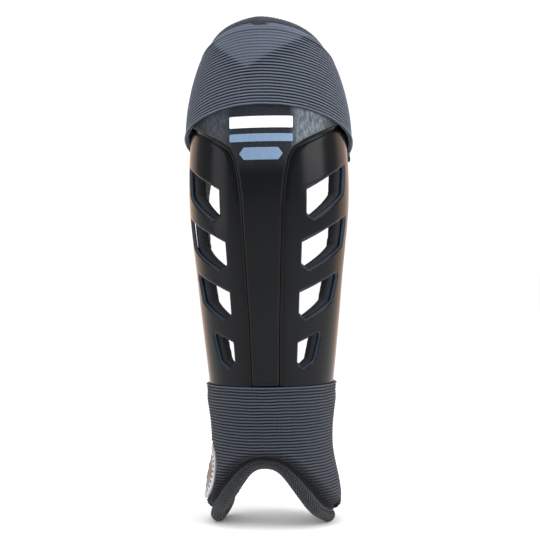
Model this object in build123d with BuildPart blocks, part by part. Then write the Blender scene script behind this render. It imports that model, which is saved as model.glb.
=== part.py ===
from build123d import *
import math
import os

os.makedirs("parts", exist_ok=True)

# Field hockey shin guard, millimetres. +Z runs up the leg, the front faces -Y.
# The origin is on the leg axis, level with the bottom of the ankle lobes.

# Outside of the hard shell at each height: height, half width, front depth.
LEVELS = [
    (-8, 44.2, 46.5),
    (18, 46.6, 45.5),
    (58, 40.8, 42.0),
    (104, 45.3, 42.5),
    (170, 52.3, 48.2),
    (240, 58.2, 53.5),
    (276, 56.6, 53.0),
    (312, 50.0, 51.3),
    (364, 35.0, 48.0),
]
REAR_RATIO = 1.15  # rear depth of a section over its half width

# Layers, as distances outside (+) or inside (-) the shell's outer surface.
SHELL_INNER = -2.6
PLATEAU = 2.0
PAD_INNER = -4.75
FOAM_OUTER = -4.8
FOAM_INNER = -10.8
LINING_INNER = -11.6
UPPER_COVER = (2.1, 3.2)
UPPER_HEM = (3.25, 3.9)
LOWER_COVER = (0.1, 1.2)
LOWER_HEM = (1.25, 1.8)

# Side view outlines, as (y, z) points.
SHELL_REAR = [(4, 62), (12, 88), (8, 104), (0, 134), (-4, 170), (-4, 205), (0, 236), (8, 258), (14, 276)]
SHELL_SIDE = [(-75, 62)] + SHELL_REAR + [(14, 290), (-75, 341)]
SHELL_ROOM = [(-75, 61.6)] + [(y + 0.5, z) for y, z in SHELL_REAR] + [(14.5, 290.4), (-75, 341.5)]

# Centre lines of the rolled edges in side view, from the ankle lobes round the rear to the top.
LOBE_SIDE = [(-9, 7.4), (-1, 5.2), (7, 4.6), (15, 5.8), (21.5, 9.2), (26, 14.5)]
EDGE_SIDE = [
    (26.5, 15.3), (30, 24), (32, 38), (31.5, 56), (29.5, 78), (24, 97), (15, 116), (8.5, 140),
    (6, 172), (7, 207), (12, 234), (22, 255), (33, 271), (36.5, 284), (33.5, 301), (24.5, 317),
]
TOP_SIDE = [(23.9, 317.7), (8, 331.5), (-8, 339.5), (-24, 346.5), (-36, 351), (-43.5, 353.8)]
TOP_FRONT_Z = 354.3
UPPER_HEM_LINE = [(-75, 305.5), (-54, 298.5), (0, 277), (40, 262)]
HEM_WIDTH = 4.0
LOWER_HEM_Z = 101.0

# Front arch over the instep: centre line of the padded roll, as (x, z) points.
ARCH = [(0, 48), (6.5, 47), (12, 43.8), (17, 38.6), (22, 32), (27, 25), (31, 19), (35, 13.6)]
ARCH_SHIFT = -1.6
ROLL_RADIUS = 3.7
ROLL_DEPTH = -5.6
TOP_DEPTH = -3.2
EDGE_RADIUS = 3.3
EDGE_DEPTH = -7.4
ROLL_CLEARANCE = 0.3

# Vents of one side: corners as (angle from the front, height).
VENTS = [
    [(31, 222), (35, 218.8), (70, 238.5), (74, 256.5), (31, 238)],
    [(30, 187), (34.5, 184.2), (73, 201.8), (76, 220.2), (30, 202.4)],
    [(29.5, 152), (34, 149.4), (63.5, 162.8), (69.5, 180.3), (29.5, 167.6)],
    [(29.5, 117.5), (34, 115.2), (45, 120.5), (51, 138.8), (29.5, 132.9)],
]
VENT_CORNER = 2.0
LINER_VENT_INSET = 1.0

# Raised front panel, half outline in front view, as (x, z) points.
PANEL = [
    (9.6, 101.6), (10.6, 148), (12.4, 190), (14.2, 231), (16, 247), (18.3, 259), (22, 267.5),
    (30, 273), (40, 278.5), (52, 285.5), (62, 292),
]
PANEL_TOP = 345
WHITE_BAR = (281.0, 289.0)
GREY_BAR = (271.5, 277.0)
BAR_HALF_WIDTH = 21.8
MARK_SIZE = (30.0, 8.6)
MARK_Z = 263.2
GRAPHIC_THICKNESS = 0.4

BADGE_Z = 38.0
BADGE_ANGLE = -83.0
BADGE_RADIUS = 20.0
BADGE_RING = 4.5
BADGE_LAYER = (1.25, 2.5)
RING_LAYER = (1.25, 3.1)

# Straps: heights, then plan angles from the rear (+ is the wearer's sewn side).
STRAPS = {
    "calf": {"low": 264.0, "high": 302.0, "root": 62.0, "swing": 52.0, "peel": -30.0, "tip": -60.0},
    "ankle": {"low": 56.0, "high": 94.0, "root": 54.0, "swing": 43.0, "peel": -20.0, "tip": -52.0},
}
LOOP_TAB_LAYER = (3.3, 4.6)
LOOP_LAYER = (4.65, 5.9)
HOOK_LAYER = (6.2, 7.15)
STRAP_LAYER = (7.2, 9.0)
PATCH_INSET = 3.0
PULL_LAYER = (6.2, 9.8)
PULL_ANGLE = 5.0
JOINT_GAP = 1.0
FAR = 140.0


def size_at(height, offset=0.0):
    """Half width, front depth and rear depth of the section at a height."""
    for (z0, a0, b0), (z1, a1, b1) in zip(LEVELS, LEVELS[1:]):
        if height <= z1:
            break
    share = (height - z0) / (z1 - z0)
    half_width = a0 + (a1 - a0) * share
    front = b0 + (b1 - b0) * share
    return half_width + offset, front + offset, REAR_RATIO * half_width + offset


def point_on(angle, height, offset=0.0):
    """Point on an offset surface; the angle is 0 at the front and 90 at the +X side."""
    half_width, front, rear = size_at(height, offset)
    turn = math.radians(angle)
    depth = front if math.cos(turn) > 0 else rear
    return (half_width * math.sin(turn), -depth * math.cos(turn), height)


def form(offset):
    """The whole leg-shaped body at a distance from the shell's outer surface."""
    with BuildPart() as body:
        for height, half_width, front in LEVELS:
            rear = REAR_RATIO * half_width
            with BuildSketch(Plane.XY.offset(height)):
                with BuildLine():
                    EllipticalCenterArc((0, 0), half_width + offset, front + offset, 180, arc_size=180)
                    EllipticalCenterArc((0, 0), half_width + offset, rear + offset, 0, arc_size=180)
                make_face()
        loft()
    return body.part


def layer(outer, inner):
    """Skin between two offsets."""
    outside = form(outer)
    inside = form(inner)
    with BuildPart() as skin:
        add(outside)
        add(inside, mode=Mode.SUBTRACT)
    return skin.part


def side_prism(points):
    """Prism across the whole width from a straight-sided side view outline."""
    with BuildPart() as prism:
        with BuildSketch(Plane.YZ):
            with BuildLine():
                Polyline(*points, close=True)
            make_face()
        extrude(amount=FAR, both=True)
    return prism.part


def front_prism(points):
    """Prism through the front half from a front view outline."""
    with BuildPart() as prism:
        with BuildSketch(Plane.XZ):
            with BuildLine():
                Polyline(*points, close=True)
            make_face()
        extrude(amount=FAR)
    return prism.part


def sector(start, end, low, high):
    """Vertical wedge between two plan angles measured from the rear, + towards +X."""
    steps = 6
    points = [(0, 0)]
    for i in range(steps + 1):
        turn = math.radians(start + (end - start) * i / steps)
        points.append((FAR * math.sin(turn), FAR * math.cos(turn)))
    with BuildPart() as wedge:
        with BuildSketch(Plane.XY.offset(low)):
            with BuildLine():
                Polyline(*points, close=True)
            make_face()
        extrude(amount=high - low)
    return wedge.part


def shifted(points, distance):
    """A curve's points moved to the left of its direction by a distance."""
    moved = []
    for i, (u, v) in enumerate(points):
        u0, v0 = points[max(i - 1, 0)]
        u1, v1 = points[min(i + 1, len(points) - 1)]
        length = math.hypot(u1 - u0, v1 - v0)
        moved.append((u - distance * (v1 - v0) / length, v + distance * (u1 - u0) / length))
    return moved


def liner_prism():
    """Prism of the padded body inside its rolled edges."""
    edge = shifted(EDGE_SIDE, EDGE_RADIUS + ROLL_CLEARANCE)
    top = shifted(TOP_SIDE[1:], ROLL_RADIUS + ROLL_CLEARANCE)
    bottom = shifted(LOBE_SIDE[:-1], ROLL_RADIUS + ROLL_CLEARANCE)
    curve = bottom + edge + top
    with BuildPart() as prism:
        with BuildSketch(Plane.YZ):
            with BuildLine():
                Spline(*curve)
                Polyline(curve[-1], (-FAR, curve[-1][1] + 1), (-FAR, bottom[0][1]), curve[0])
            make_face()
        extrude(amount=FAR, both=True)
    return prism.part


def arch_prism():
    """Prism of the arch opening, out to the upper side of its roll."""
    right = shifted(ARCH, ROLL_RADIUS + ROLL_CLEARANCE)
    right[0] = (0, ARCH[0][1] + ROLL_RADIUS + ROLL_CLEARANCE)
    curve = [(x, z) for x, z in right] + [(46, 9.3), (56, 8.6)]
    whole = [(ARCH_SHIFT - x, z) for x, z in reversed(curve[1:])] + [(ARCH_SHIFT + x, z) for x, z in curve]
    with BuildPart() as prism:
        with BuildSketch(Plane.XZ):
            with BuildLine():
                Spline(*whole)
                Polyline(whole[-1], (whole[-1][0], -40), (whole[0][0], -40), whole[0])
            make_face()
        extrude(amount=FAR)
    return prism.part


def on_side(y, z, offset):
    """Point on the +X side of an offset surface from its place in side view."""
    half_width, front, rear = size_at(z, offset)
    depth = front if y < 0 else rear
    return (half_width * math.sqrt(max(0.0, 1 - (y / depth) ** 2)), y, z)


def roll(points, radius):
    """Round roll swept along a smooth path."""
    with BuildPart() as tube:
        with BuildLine() as path:
            Spline(*points)
        with BuildSketch(Plane(path.line @ 0, z_dir=path.line % 0)):
            Circle(radius)
        sweep()
    return tube.part


def vent_frame(angle, height):
    """Plane that touches the shell, facing straight out of it."""
    half_width, front, rear = size_at(height)
    turn = math.radians(angle)
    out = Vector(math.sin(turn) / half_width, -math.cos(turn) / front, 0).normalized()
    return Plane(origin=point_on(angle, height), x_dir=Vector(-out.Y, out.X, 0), z_dir=out)


def vent_cutter(corners, inset):
    """Slanted window through the side wall, cut square to the middle of the window."""
    angles = [angle for angle, z in corners]
    heights = [z for angle, z in corners]
    middle = (min(angles) + max(angles)) / 2
    frame = vent_frame(middle, (min(heights) + max(heights)) / 2)
    local = [frame.to_local_coords(Vector(*point_on(angle, z))) for angle, z in corners]
    with BuildPart() as cutter:
        with BuildSketch(frame):
            with BuildLine():
                Polyline(*[(p.X, p.Y) for p in local], close=True)
            make_face()
            if inset:
                offset(amount=-inset, kind=Kind.INTERSECTION)
            fillet(vertices(), VENT_CORNER)
        extrude(amount=24, both=True)
    return cutter.part


def vents(inset):
    """All the windows of one side and their mirror images."""
    cutters = []
    for corners in VENTS:
        cutter = vent_cutter(corners, inset)
        cutters.append(cutter)
        cutters.append(mirror(cutter, about=Plane.YZ))
    return cutters


def save(part, name):
    part.label = name
    export_step(part, f"parts/{name}.step")


shell_cut = side_prism(SHELL_SIDE)
shell_room = side_prism(SHELL_ROOM)
liner_cut = liner_prism()
arch_cut = arch_prism()
above_hem = side_prism(UPPER_HEM_LINE + [(60, 400), (-75, 400)])
below_hem = side_prism([(-75, -40), (60, -40), (60, LOWER_HEM_Z), (-75, LOWER_HEM_Z)])
shell_vents = vents(0.0)
liner_vents = vents(LINER_VENT_INSET)

# Hard shell with its raised front panel and its eight windows.
panel_cut = front_prism(PANEL + [(62, PANEL_TOP), (-62, PANEL_TOP)] + [(-x, z) for x, z in reversed(PANEL)])
panel_form = form(PLATEAU)
shell_form = form(0.0)
shell_hollow = form(SHELL_INNER)
with BuildPart() as shell:
    add(panel_form)
    add(panel_cut, mode=Mode.INTERSECT)
    add(shell_form)
    add(shell_hollow, mode=Mode.SUBTRACT)
    add(shell_cut, mode=Mode.INTERSECT)
    add(shell_vents, mode=Mode.SUBTRACT)
save(shell.part, "shell")

# Bars and mark on the raised panel.
graphic_layer = layer(PLATEAU + 0.02 + GRAPHIC_THICKNESS, PLATEAU + 0.02)
bars = {"white_bar": WHITE_BAR, "grey_bar": GREY_BAR}
for name, (low, high) in bars.items():
    half = BAR_HALF_WIDTH
    bar_cut = front_prism([(-half, low), (half, low), (half, high), (-half, high)])
    with BuildPart() as bar:
        add(graphic_layer)
        add(bar_cut, mode=Mode.INTERSECT)
    save(bar.part, name)

mark_x = MARK_SIZE[0] / 2
mark_z = MARK_SIZE[1] / 2
mark_outline = [
    (-mark_x, MARK_Z), (-mark_x + mark_z, MARK_Z - mark_z), (mark_x - mark_z, MARK_Z - mark_z),
    (mark_x, MARK_Z), (mark_x - mark_z, MARK_Z + mark_z), (-mark_x + mark_z, MARK_Z + mark_z),
]
mark_cut = front_prism(mark_outline)
with BuildPart() as front_mark:
    add(graphic_layer)
    add(mark_cut, mode=Mode.INTERSECT)
save(front_mark.part, "front_mark")

# Foam liner and its inner lining.
foam_layer = layer(FOAM_OUTER, FOAM_INNER)
with BuildPart() as liner_foam:
    add(foam_layer)
    add(liner_cut, mode=Mode.INTERSECT)
    add(arch_cut, mode=Mode.SUBTRACT)
    add(liner_vents, mode=Mode.SUBTRACT)
save(liner_foam.part, "liner_foam")

lining_layer = layer(FOAM_INNER - 0.05, LINING_INNER)
with BuildPart() as liner_fabric:
    add(lining_layer)
    add(liner_cut, mode=Mode.INTERSECT)
    add(arch_cut, mode=Mode.SUBTRACT)
    add(liner_vents, mode=Mode.SUBTRACT)
save(liner_fabric.part, "liner_fabric")

# Knee end: pad, ribbed cover and hem.
knee_layer = layer(UPPER_COVER[0] - 0.05, PAD_INNER)
with BuildPart() as knee_pad:
    add(knee_layer)
    add(liner_cut, mode=Mode.INTERSECT)
    add(above_hem, mode=Mode.INTERSECT)
    add(shell_room, mode=Mode.SUBTRACT)
save(knee_pad.part, "knee_pad")

upper_layer = layer(UPPER_COVER[1], UPPER_COVER[0])
with BuildPart() as upper_cover:
    add(upper_layer)
    add(liner_cut, mode=Mode.INTERSECT)
    add(above_hem, mode=Mode.INTERSECT)
save(upper_cover.part, "upper_cover")

hem_layer = layer(UPPER_HEM[1], UPPER_HEM[0])
hem_low = UPPER_HEM_LINE[:-1] + [(26, 267.3)]
hem_high = [(y, z + HEM_WIDTH) for y, z in reversed(hem_low)]
hem_cut = side_prism(hem_low + hem_high)
with BuildPart() as upper_hem:
    add(hem_layer)
    add(hem_cut, mode=Mode.INTERSECT)
save(upper_hem.part, "upper_hem")

# Ankle end: pad, ribbed cover and hem.
instep_layer = layer(LOWER_COVER[0] - 0.05, PAD_INNER)
with BuildPart() as instep_pad:
    add(instep_layer)
    add(liner_cut, mode=Mode.INTERSECT)
    add(below_hem, mode=Mode.INTERSECT)
    add(arch_cut, mode=Mode.SUBTRACT)
    add(shell_room, mode=Mode.SUBTRACT)
save(instep_pad.part, "instep_pad")

lower_layer = layer(LOWER_COVER[1], LOWER_COVER[0])
with BuildPart() as lower_cover:
    add(lower_layer)
    add(liner_cut, mode=Mode.INTERSECT)
    add(below_hem, mode=Mode.INTERSECT)
    add(arch_cut, mode=Mode.SUBTRACT)
save(lower_cover.part, "lower_cover")

lower_hem_layer = layer(LOWER_HEM[1], LOWER_HEM[0])
lower_hem_cut = side_prism([
    (-75, LOWER_HEM_Z - HEM_WIDTH), (24, LOWER_HEM_Z - HEM_WIDTH), (24, LOWER_HEM_Z), (-75, LOWER_HEM_Z),
])
with BuildPart() as lower_hem:
    add(lower_hem_layer)
    add(lower_hem_cut, mode=Mode.INTERSECT)
save(lower_hem.part, "lower_hem")

# Padded rolls and edge bindings.
arch_right = []
arch_left = []
for x, z in ARCH:
    for side, points in ((1, arch_right), (-1, arch_left)):
        half_width, front, rear = size_at(z, ROLL_DEPTH)
        across = side * x + ARCH_SHIFT
        points.append((across, -front * math.sqrt(1 - (across / half_width) ** 2), z))
lobe_right = [on_side(y, z, ROLL_DEPTH) for y, z in LOBE_SIDE]
lobe_left = [(-x, y, z) for x, y, z in lobe_right]
arch_path = lobe_left[::-1] + arch_left[:0:-1] + arch_right + lobe_right
arch_roll_part = roll(arch_path, ROLL_RADIUS)
save(arch_roll_part, "arch_roll")

top_right = [on_side(y, z, TOP_DEPTH) for y, z in TOP_SIDE]
top_left = [(-x, y, z) for x, y, z in reversed(top_right)]
top_front = point_on(0, TOP_FRONT_Z, TOP_DEPTH)
top_roll_part = roll(top_right + [top_front] + top_left, ROLL_RADIUS)
save(top_roll_part, "top_roll")

edge_path = [on_side(y, z, EDGE_DEPTH) for y, z in EDGE_SIDE]
edge_binding_part = roll(edge_path, EDGE_RADIUS)
save(edge_binding_part, "edge_binding_right")
save(mirror(edge_binding_part, about=Plane.YZ), "edge_binding_left")

# Round badge on one ankle lobe.
badge_frame = vent_frame(BADGE_ANGLE, BADGE_Z)
badge_layer = layer(BADGE_LAYER[1], BADGE_LAYER[0])
with BuildPart() as badge_disc_cut:
    with BuildSketch(badge_frame):
        Circle(BADGE_RADIUS - BADGE_RING - 0.1)
    extrude(amount=20, both=True)
with BuildPart() as ankle_badge:
    add(badge_layer)
    add(badge_disc_cut.part, mode=Mode.INTERSECT)
save(ankle_badge.part, "ankle_badge")

ring_layer = layer(RING_LAYER[1], RING_LAYER[0])
with BuildPart() as badge_ring_cut:
    with BuildSketch(badge_frame):
        Circle(BADGE_RADIUS)
        Circle(BADGE_RADIUS - BADGE_RING, mode=Mode.SUBTRACT)
    extrude(amount=20, both=True)
with BuildPart() as badge_ring:
    add(ring_layer)
    add(badge_ring_cut.part, mode=Mode.INTERSECT)
save(badge_ring.part, "badge_ring")

# Elastic straps: sewn root, band, free end with hook patch and pull tab, fixed loop tab.
strap_layer = layer(STRAP_LAYER[1], STRAP_LAYER[0])
root_layer = layer(STRAP_LAYER[1], LOOP_TAB_LAYER[0])
hook_layer = layer(HOOK_LAYER[1], HOOK_LAYER[0])
pull_layer = layer(PULL_LAYER[1], PULL_LAYER[0])
loop_tab_layer = layer(LOOP_TAB_LAYER[1], LOOP_TAB_LAYER[0])
loop_layer = layer(LOOP_LAYER[1], LOOP_LAYER[0])


def strap_piece(skin, start, end, low, high):
    """Length of webbing between two plan angles."""
    keep = sector(start, end, low, high)
    with BuildPart() as piece:
        add(skin)
        add(keep, mode=Mode.INTERSECT)
    return piece.part


for name, strap in STRAPS.items():
    low = strap["low"]
    high = strap["high"]
    tip = strap["tip"]
    peel = strap["peel"]
    swing = strap["swing"]
    gap = math.degrees(JOINT_GAP / size_at(low, STRAP_LAYER[1])[0])
    inner_low = low + PATCH_INSET
    inner_high = high - PATCH_INSET
    save(strap_piece(root_layer, swing, strap["root"], low, high), f"{name}_strap_root")
    save(strap_piece(strap_layer, peel, swing - gap, low, high), f"{name}_strap_band")
    save(strap_piece(strap_layer, tip, peel - gap, low, high), f"{name}_strap_end")
    save(strap_piece(hook_layer, tip + 1, peel - 4, inner_low, inner_high), f"{name}_hook_patch")
    save(strap_piece(pull_layer, tip - PULL_ANGLE, tip - 0.1, low + 6, high - 6), f"{name}_pull_tab")
    save(strap_piece(loop_tab_layer, tip + 1, peel - 2, low, high), f"{name}_loop_tab")
    save(strap_piece(loop_layer, tip + 3, peel - 3, inner_low, inner_high), f"{name}_loop_patch")
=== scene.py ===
import bpy
import math
import numpy as np
from mathutils import Matrix, Vector


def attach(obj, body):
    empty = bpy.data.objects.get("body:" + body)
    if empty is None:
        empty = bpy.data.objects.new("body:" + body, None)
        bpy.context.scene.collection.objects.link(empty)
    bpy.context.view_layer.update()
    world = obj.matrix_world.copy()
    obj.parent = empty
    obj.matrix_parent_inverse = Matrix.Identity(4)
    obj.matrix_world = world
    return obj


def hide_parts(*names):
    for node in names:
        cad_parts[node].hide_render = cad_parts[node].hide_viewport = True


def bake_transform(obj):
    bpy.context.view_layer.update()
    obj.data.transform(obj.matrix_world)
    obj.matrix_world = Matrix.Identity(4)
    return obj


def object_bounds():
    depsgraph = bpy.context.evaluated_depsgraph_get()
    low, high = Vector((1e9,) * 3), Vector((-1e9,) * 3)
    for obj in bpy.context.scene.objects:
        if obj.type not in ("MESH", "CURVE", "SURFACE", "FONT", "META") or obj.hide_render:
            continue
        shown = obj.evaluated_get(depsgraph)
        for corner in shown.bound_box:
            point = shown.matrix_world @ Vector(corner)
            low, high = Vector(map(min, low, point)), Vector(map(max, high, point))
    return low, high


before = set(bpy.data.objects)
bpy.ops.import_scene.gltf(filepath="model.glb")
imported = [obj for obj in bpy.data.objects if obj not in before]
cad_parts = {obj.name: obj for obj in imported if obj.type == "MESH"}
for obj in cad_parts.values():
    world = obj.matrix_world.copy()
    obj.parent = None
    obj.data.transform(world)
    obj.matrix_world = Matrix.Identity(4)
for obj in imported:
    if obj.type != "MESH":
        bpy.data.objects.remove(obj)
cad_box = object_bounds()
MM = 0.001

# ---------------------------------------------------------------- the leg form
# Height, half width and front depth of the form at the shell's face. All sizes are in millimetres.
LEVELS = np.array([
    (-8, 44.2, 46.5), (18, 46.6, 45.5), (58, 40.8, 42.0), (104, 45.3, 42.5), (170, 52.3, 48.2),
    (240, 58.2, 53.5), (276, 56.6, 53.0), (312, 50.0, 51.3), (364, 35.0, 48.0),
], float)
REAR_RATIO = 1.15   # depth of the rear half over the half width


def smooth(x, xs, ys):
    """Cubic curve through the points of a table."""
    xs = np.asarray(xs, float)
    ys = np.asarray(ys, float)
    slope = np.gradient(ys, xs)
    i = np.clip(np.searchsorted(xs, x) - 1, 0, len(xs) - 2)
    width = xs[i + 1] - xs[i]
    t = np.clip((x - xs[i]) / width, 0, 1)
    return (
        (2 * t**3 - 3 * t**2 + 1) * ys[i] + (t**3 - 2 * t**2 + t) * width * slope[i]
        + (-2 * t**3 + 3 * t**2) * ys[i + 1] + (t**3 - t**2) * width * slope[i + 1]
    )


def half_width(z):
    return smooth(z, LEVELS[:, 0], LEVELS[:, 1])


def front_depth(z):
    return smooth(z, LEVELS[:, 0], LEVELS[:, 2])


def place(th, z, off):
    """Points of the form at an angle (radians, 0 at the front), a height and an offset."""
    half = half_width(z)
    depth = np.where(np.cos(th) > 0, front_depth(z), REAR_RATIO * half) + off
    return np.stack([(half + off) * np.sin(th), -depth * np.cos(th), z + 0 * th], -1)


def arc_scale(z):
    """Millimetres along the surface for one radian."""
    return (half_width(z) + front_depth(z)) / 2


def ramp(x, low, high):
    """Smooth step from 0 at low to 1 at high."""
    t = np.clip((x - low) / (high - low), 0, 1)
    return t * t * (3 - 2 * t)


def line(x, points):
    """Straight stretches through points given in any order."""
    xs, ys = zip(*sorted(points))
    return np.interp(x, xs, ys)


def inside(px, py, points):
    """Signed distance to a closed polygon, negative inside."""
    pts = np.asarray(points, float)
    best = np.full(px.shape, 1e9)
    odd = np.zeros(px.shape, bool)
    for (x0, y0), (x1, y1) in zip(pts, np.roll(pts, -1, 0)):
        ex, ey = x1 - x0, y1 - y0
        t = np.clip(((px - x0) * ex + (py - y0) * ey) / (ex * ex + ey * ey + 1e-12), 0, 1)
        best = np.minimum(best, np.hypot(px - x0 - t * ex, py - y0 - t * ey))
        if y0 != y1:
            cross = (y0 > py) != (y1 > py)
            odd ^= cross & (px < ex * (py - y0) / ey + x0)
    return np.where(odd, -best, best)


def slope_of(f, th, z):
    """A field and its slope along the surface and along z."""
    nudge = 0.05
    turn = nudge / arc_scale(z)
    along = (f(th + turn, z) - f(th - turn, z)) / (2 * nudge)
    up = (f(th, z + nudge) - f(th, z - nudge)) / (2 * nudge)
    return f(th, z), along, up


def rounded_box(x, z, half_x, half_z, corner):
    """Signed distance to a rectangle with rounded corners about the origin, negative inside."""
    qx = np.abs(x) - half_x + corner
    qz = np.abs(z) - half_z + corner
    return np.hypot(np.maximum(qx, 0), np.maximum(qz, 0)) + np.minimum(np.maximum(qx, qz), 0) - corner


def lip(d, fall, depth=None):
    """Rounded fall of an edge: 0 inland, -depth at the edge, over the distance fall."""
    t = np.clip(1 + d / fall, 0, 1)
    return -(depth or fall) * (1 - np.sqrt(np.clip(1 - t * t, 0, 1)))


def level(off):
    """A face at one offset from the form."""
    return lambda th, z, d: off + 0 * th


def rounded(off, fall, depth=None):
    """A face at one offset that falls away at its edge, or rises there if depth is negative."""
    return lambda th, z, d: off + lip(d, fall, depth)


# ---------------------------------------------------------------- outlines
def side_y(th, z, off=0.0):
    return place(th, z, off)[..., 1]


# Side-view outlines, as y and height. The front is at negative y.
HEM_LINE = [(-75, 305.5), (-54, 298.5), (0, 277), (60, 255)]
EDGE_SIDE = [
    (26.5, 15.3), (30, 24), (32, 38), (31.5, 56), (29.5, 78), (24, 97), (15, 116), (8.5, 140),
    (6, 172), (7, 207), (12, 234), (22, 255), (33, 271), (36.5, 284), (33.5, 301), (24.5, 317),
]
LOBE_SIDE = [(-9, 7.4), (-1, 5.2), (7, 4.6), (15, 5.8), (21.5, 9.2), (26, 14.5)]
TOP_SIDE = [(23.9, 317.7), (8, 331.5), (-8, 339.5), (-24, 346.5), (-36, 351), (-43.5, 353.8)]
# Right half of the arch over the instep in front view, as x from its middle and height.
ARCH = [(0, 48), (6.5, 47), (12, 43.8), (17, 38.6), (22, 32), (27, 25), (31, 19), (35, 13.6)]
ARCH_SHIFT = -1.6
ROLL_OFF = -5.6     # middle of the arch roll, from the form
FRONT = -90         # y well before the form, to close an outline
BODY_TOP = 354.6


def body_field(grow):
    """Side outline of the padded body, grown past the middle of its rolled edges."""
    outline = LOBE_SIDE[1:-1] + EDGE_SIDE + TOP_SIDE[1:] + [(FRONT, BODY_TOP), (FRONT, 5.0)]

    def field(th, z):
        return inside(side_y(th, z, -6.0), z, outline) - grow

    return field


def arch_field(grow):
    """Arch opening in front view: positive inside the opening, and negative all over the rear half."""
    right = ARCH + [(39, 9.5), (44, 6.5), (52, 5.2), (80, 5)]
    outline = [(-x, z) for x, z in reversed(right[1:])] + right + [(80, -60), (-80, -60)]

    def field(th, z):
        p = place(th, z, ROLL_OFF)
        d = -inside(p[..., 0] - ARCH_SHIFT, z, outline) - grow
        return np.where(p[..., 1] < 4, d, -20.0)

    return field


# Corners of the four windows of one side, as degrees from the front and height.
VENTS = [
    [(33, 222), (37, 219.6), (70, 238.5), (74, 256.5), (33, 239)],
    [(30, 187), (34.5, 184.2), (73, 201.8), (76, 220.2), (30, 202.4)],
    [(29.5, 152), (34, 149.4), (63.5, 162.8), (69.5, 180.3), (29.5, 167.6)],
    [(29.5, 117.5), (34, 115.2), (45, 120.5), (51, 138.8), (29.5, 132.9)],
]
VENT_CORNER = 2.2
VENT_REACH = 12     # how far from a window its distance is worked out


def vent_field(grow):
    """Windows of both sides with rounded corners, negative inside a window."""
    shapes = []
    for vent in VENTS:
        k = float(arc_scale(np.mean([z for _, z in vent])))
        corners = np.array([(math.radians(t) * k, z) for t, z in vent])
        away = corners - corners.mean(0)
        shrunk = corners.mean(0) + away * (1 - VENT_CORNER / np.abs(away).max(0))
        shapes.append((k, corners[:, 1].min() - VENT_REACH, corners[:, 1].max() + VENT_REACH, shrunk))

    def field(th, z):
        best = np.full(np.shape(th), 1e3)
        for k, low, high, shrunk in shapes:
            near = (z > low) & (z < high)
            if not near.any():
                continue
            d = inside(np.abs(th[near]) * k, z[near], shrunk) - VENT_CORNER - grow
            best[near] = np.minimum(best[near], d)
        return best

    return field


# ---------------------------------------------------------------- mesh building
def new_object(name, verts, faces, uv, attrs=None):
    """A mesh object from points in millimetres, a UV pair per point and named values per point."""
    mesh = bpy.data.meshes.new(name)
    mesh.from_pydata((verts * MM).tolist(), [], faces)
    mesh.update()
    index = np.zeros(len(mesh.loops), np.int64)
    mesh.loops.foreach_get("vertex_index", index)
    layer = mesh.uv_layers.new(name="UVMap")
    layer.data.foreach_set("uv", np.asarray(uv, np.float32)[index].ravel())
    for key, values in (attrs or {}).items():
        named = mesh.attributes.new(key, "FLOAT", "POINT")
        named.data.foreach_set("value", np.asarray(values, np.float32))
    mesh.shade_smooth()
    obj = bpy.data.objects.new(name, mesh)
    bpy.context.collection.objects.link(obj)
    return obj


CELLS_PER_RADIAN = 50   # so that a step of 1 is about 1 mm along the form
SNAP_PASSES = 4
SNAP_LIMIT = 1.5        # the furthest that one pass moves a point
UV_UNIT = 100           # millimetres per UV unit


def trimmed_grid(reach, span, step, cut, lift):
    """A grid over angle and height, its outer points moved onto the edge of the field cut.

    Returns the angles, the heights, which cells hold material and which points those cells use.
    """
    left, right = math.radians(reach[0]), math.radians(reach[1])
    columns = int((right - left) * CELLS_PER_RADIAN / step[0]) + 1
    rows = int((span[1] - span[0]) / step[1]) + 1
    th, row = np.meshgrid(np.linspace(left, right, columns), np.linspace(span[0], span[1], rows))
    z = lift(th, row) if lift else row
    f = cut(th, z)
    keep = (f[:-1, :-1] + f[1:, :-1] + f[:-1, 1:] + f[1:, 1:]) < 0
    kept = np.zeros(th.shape, int)
    cells = np.zeros(th.shape, int)
    for i in (0, 1):
        for j in (0, 1):
            kept[i:rows - 1 + i, j:columns - 1 + j] += keep
            cells[i:rows - 1 + i, j:columns - 1 + j] += 1
    edge = (kept > 0) & (kept < cells)
    for _ in range(SNAP_PASSES):
        f0, along, up = slope_of(cut, th[edge], z[edge])
        move = np.clip(f0 / np.maximum(along * along + up * up, 0.05), -SNAP_LIMIT, SNAP_LIMIT)
        th[edge] -= move * along / arc_scale(z[edge])
        z[edge] -= move * up
    return th, z, keep, kept > 0


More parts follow.
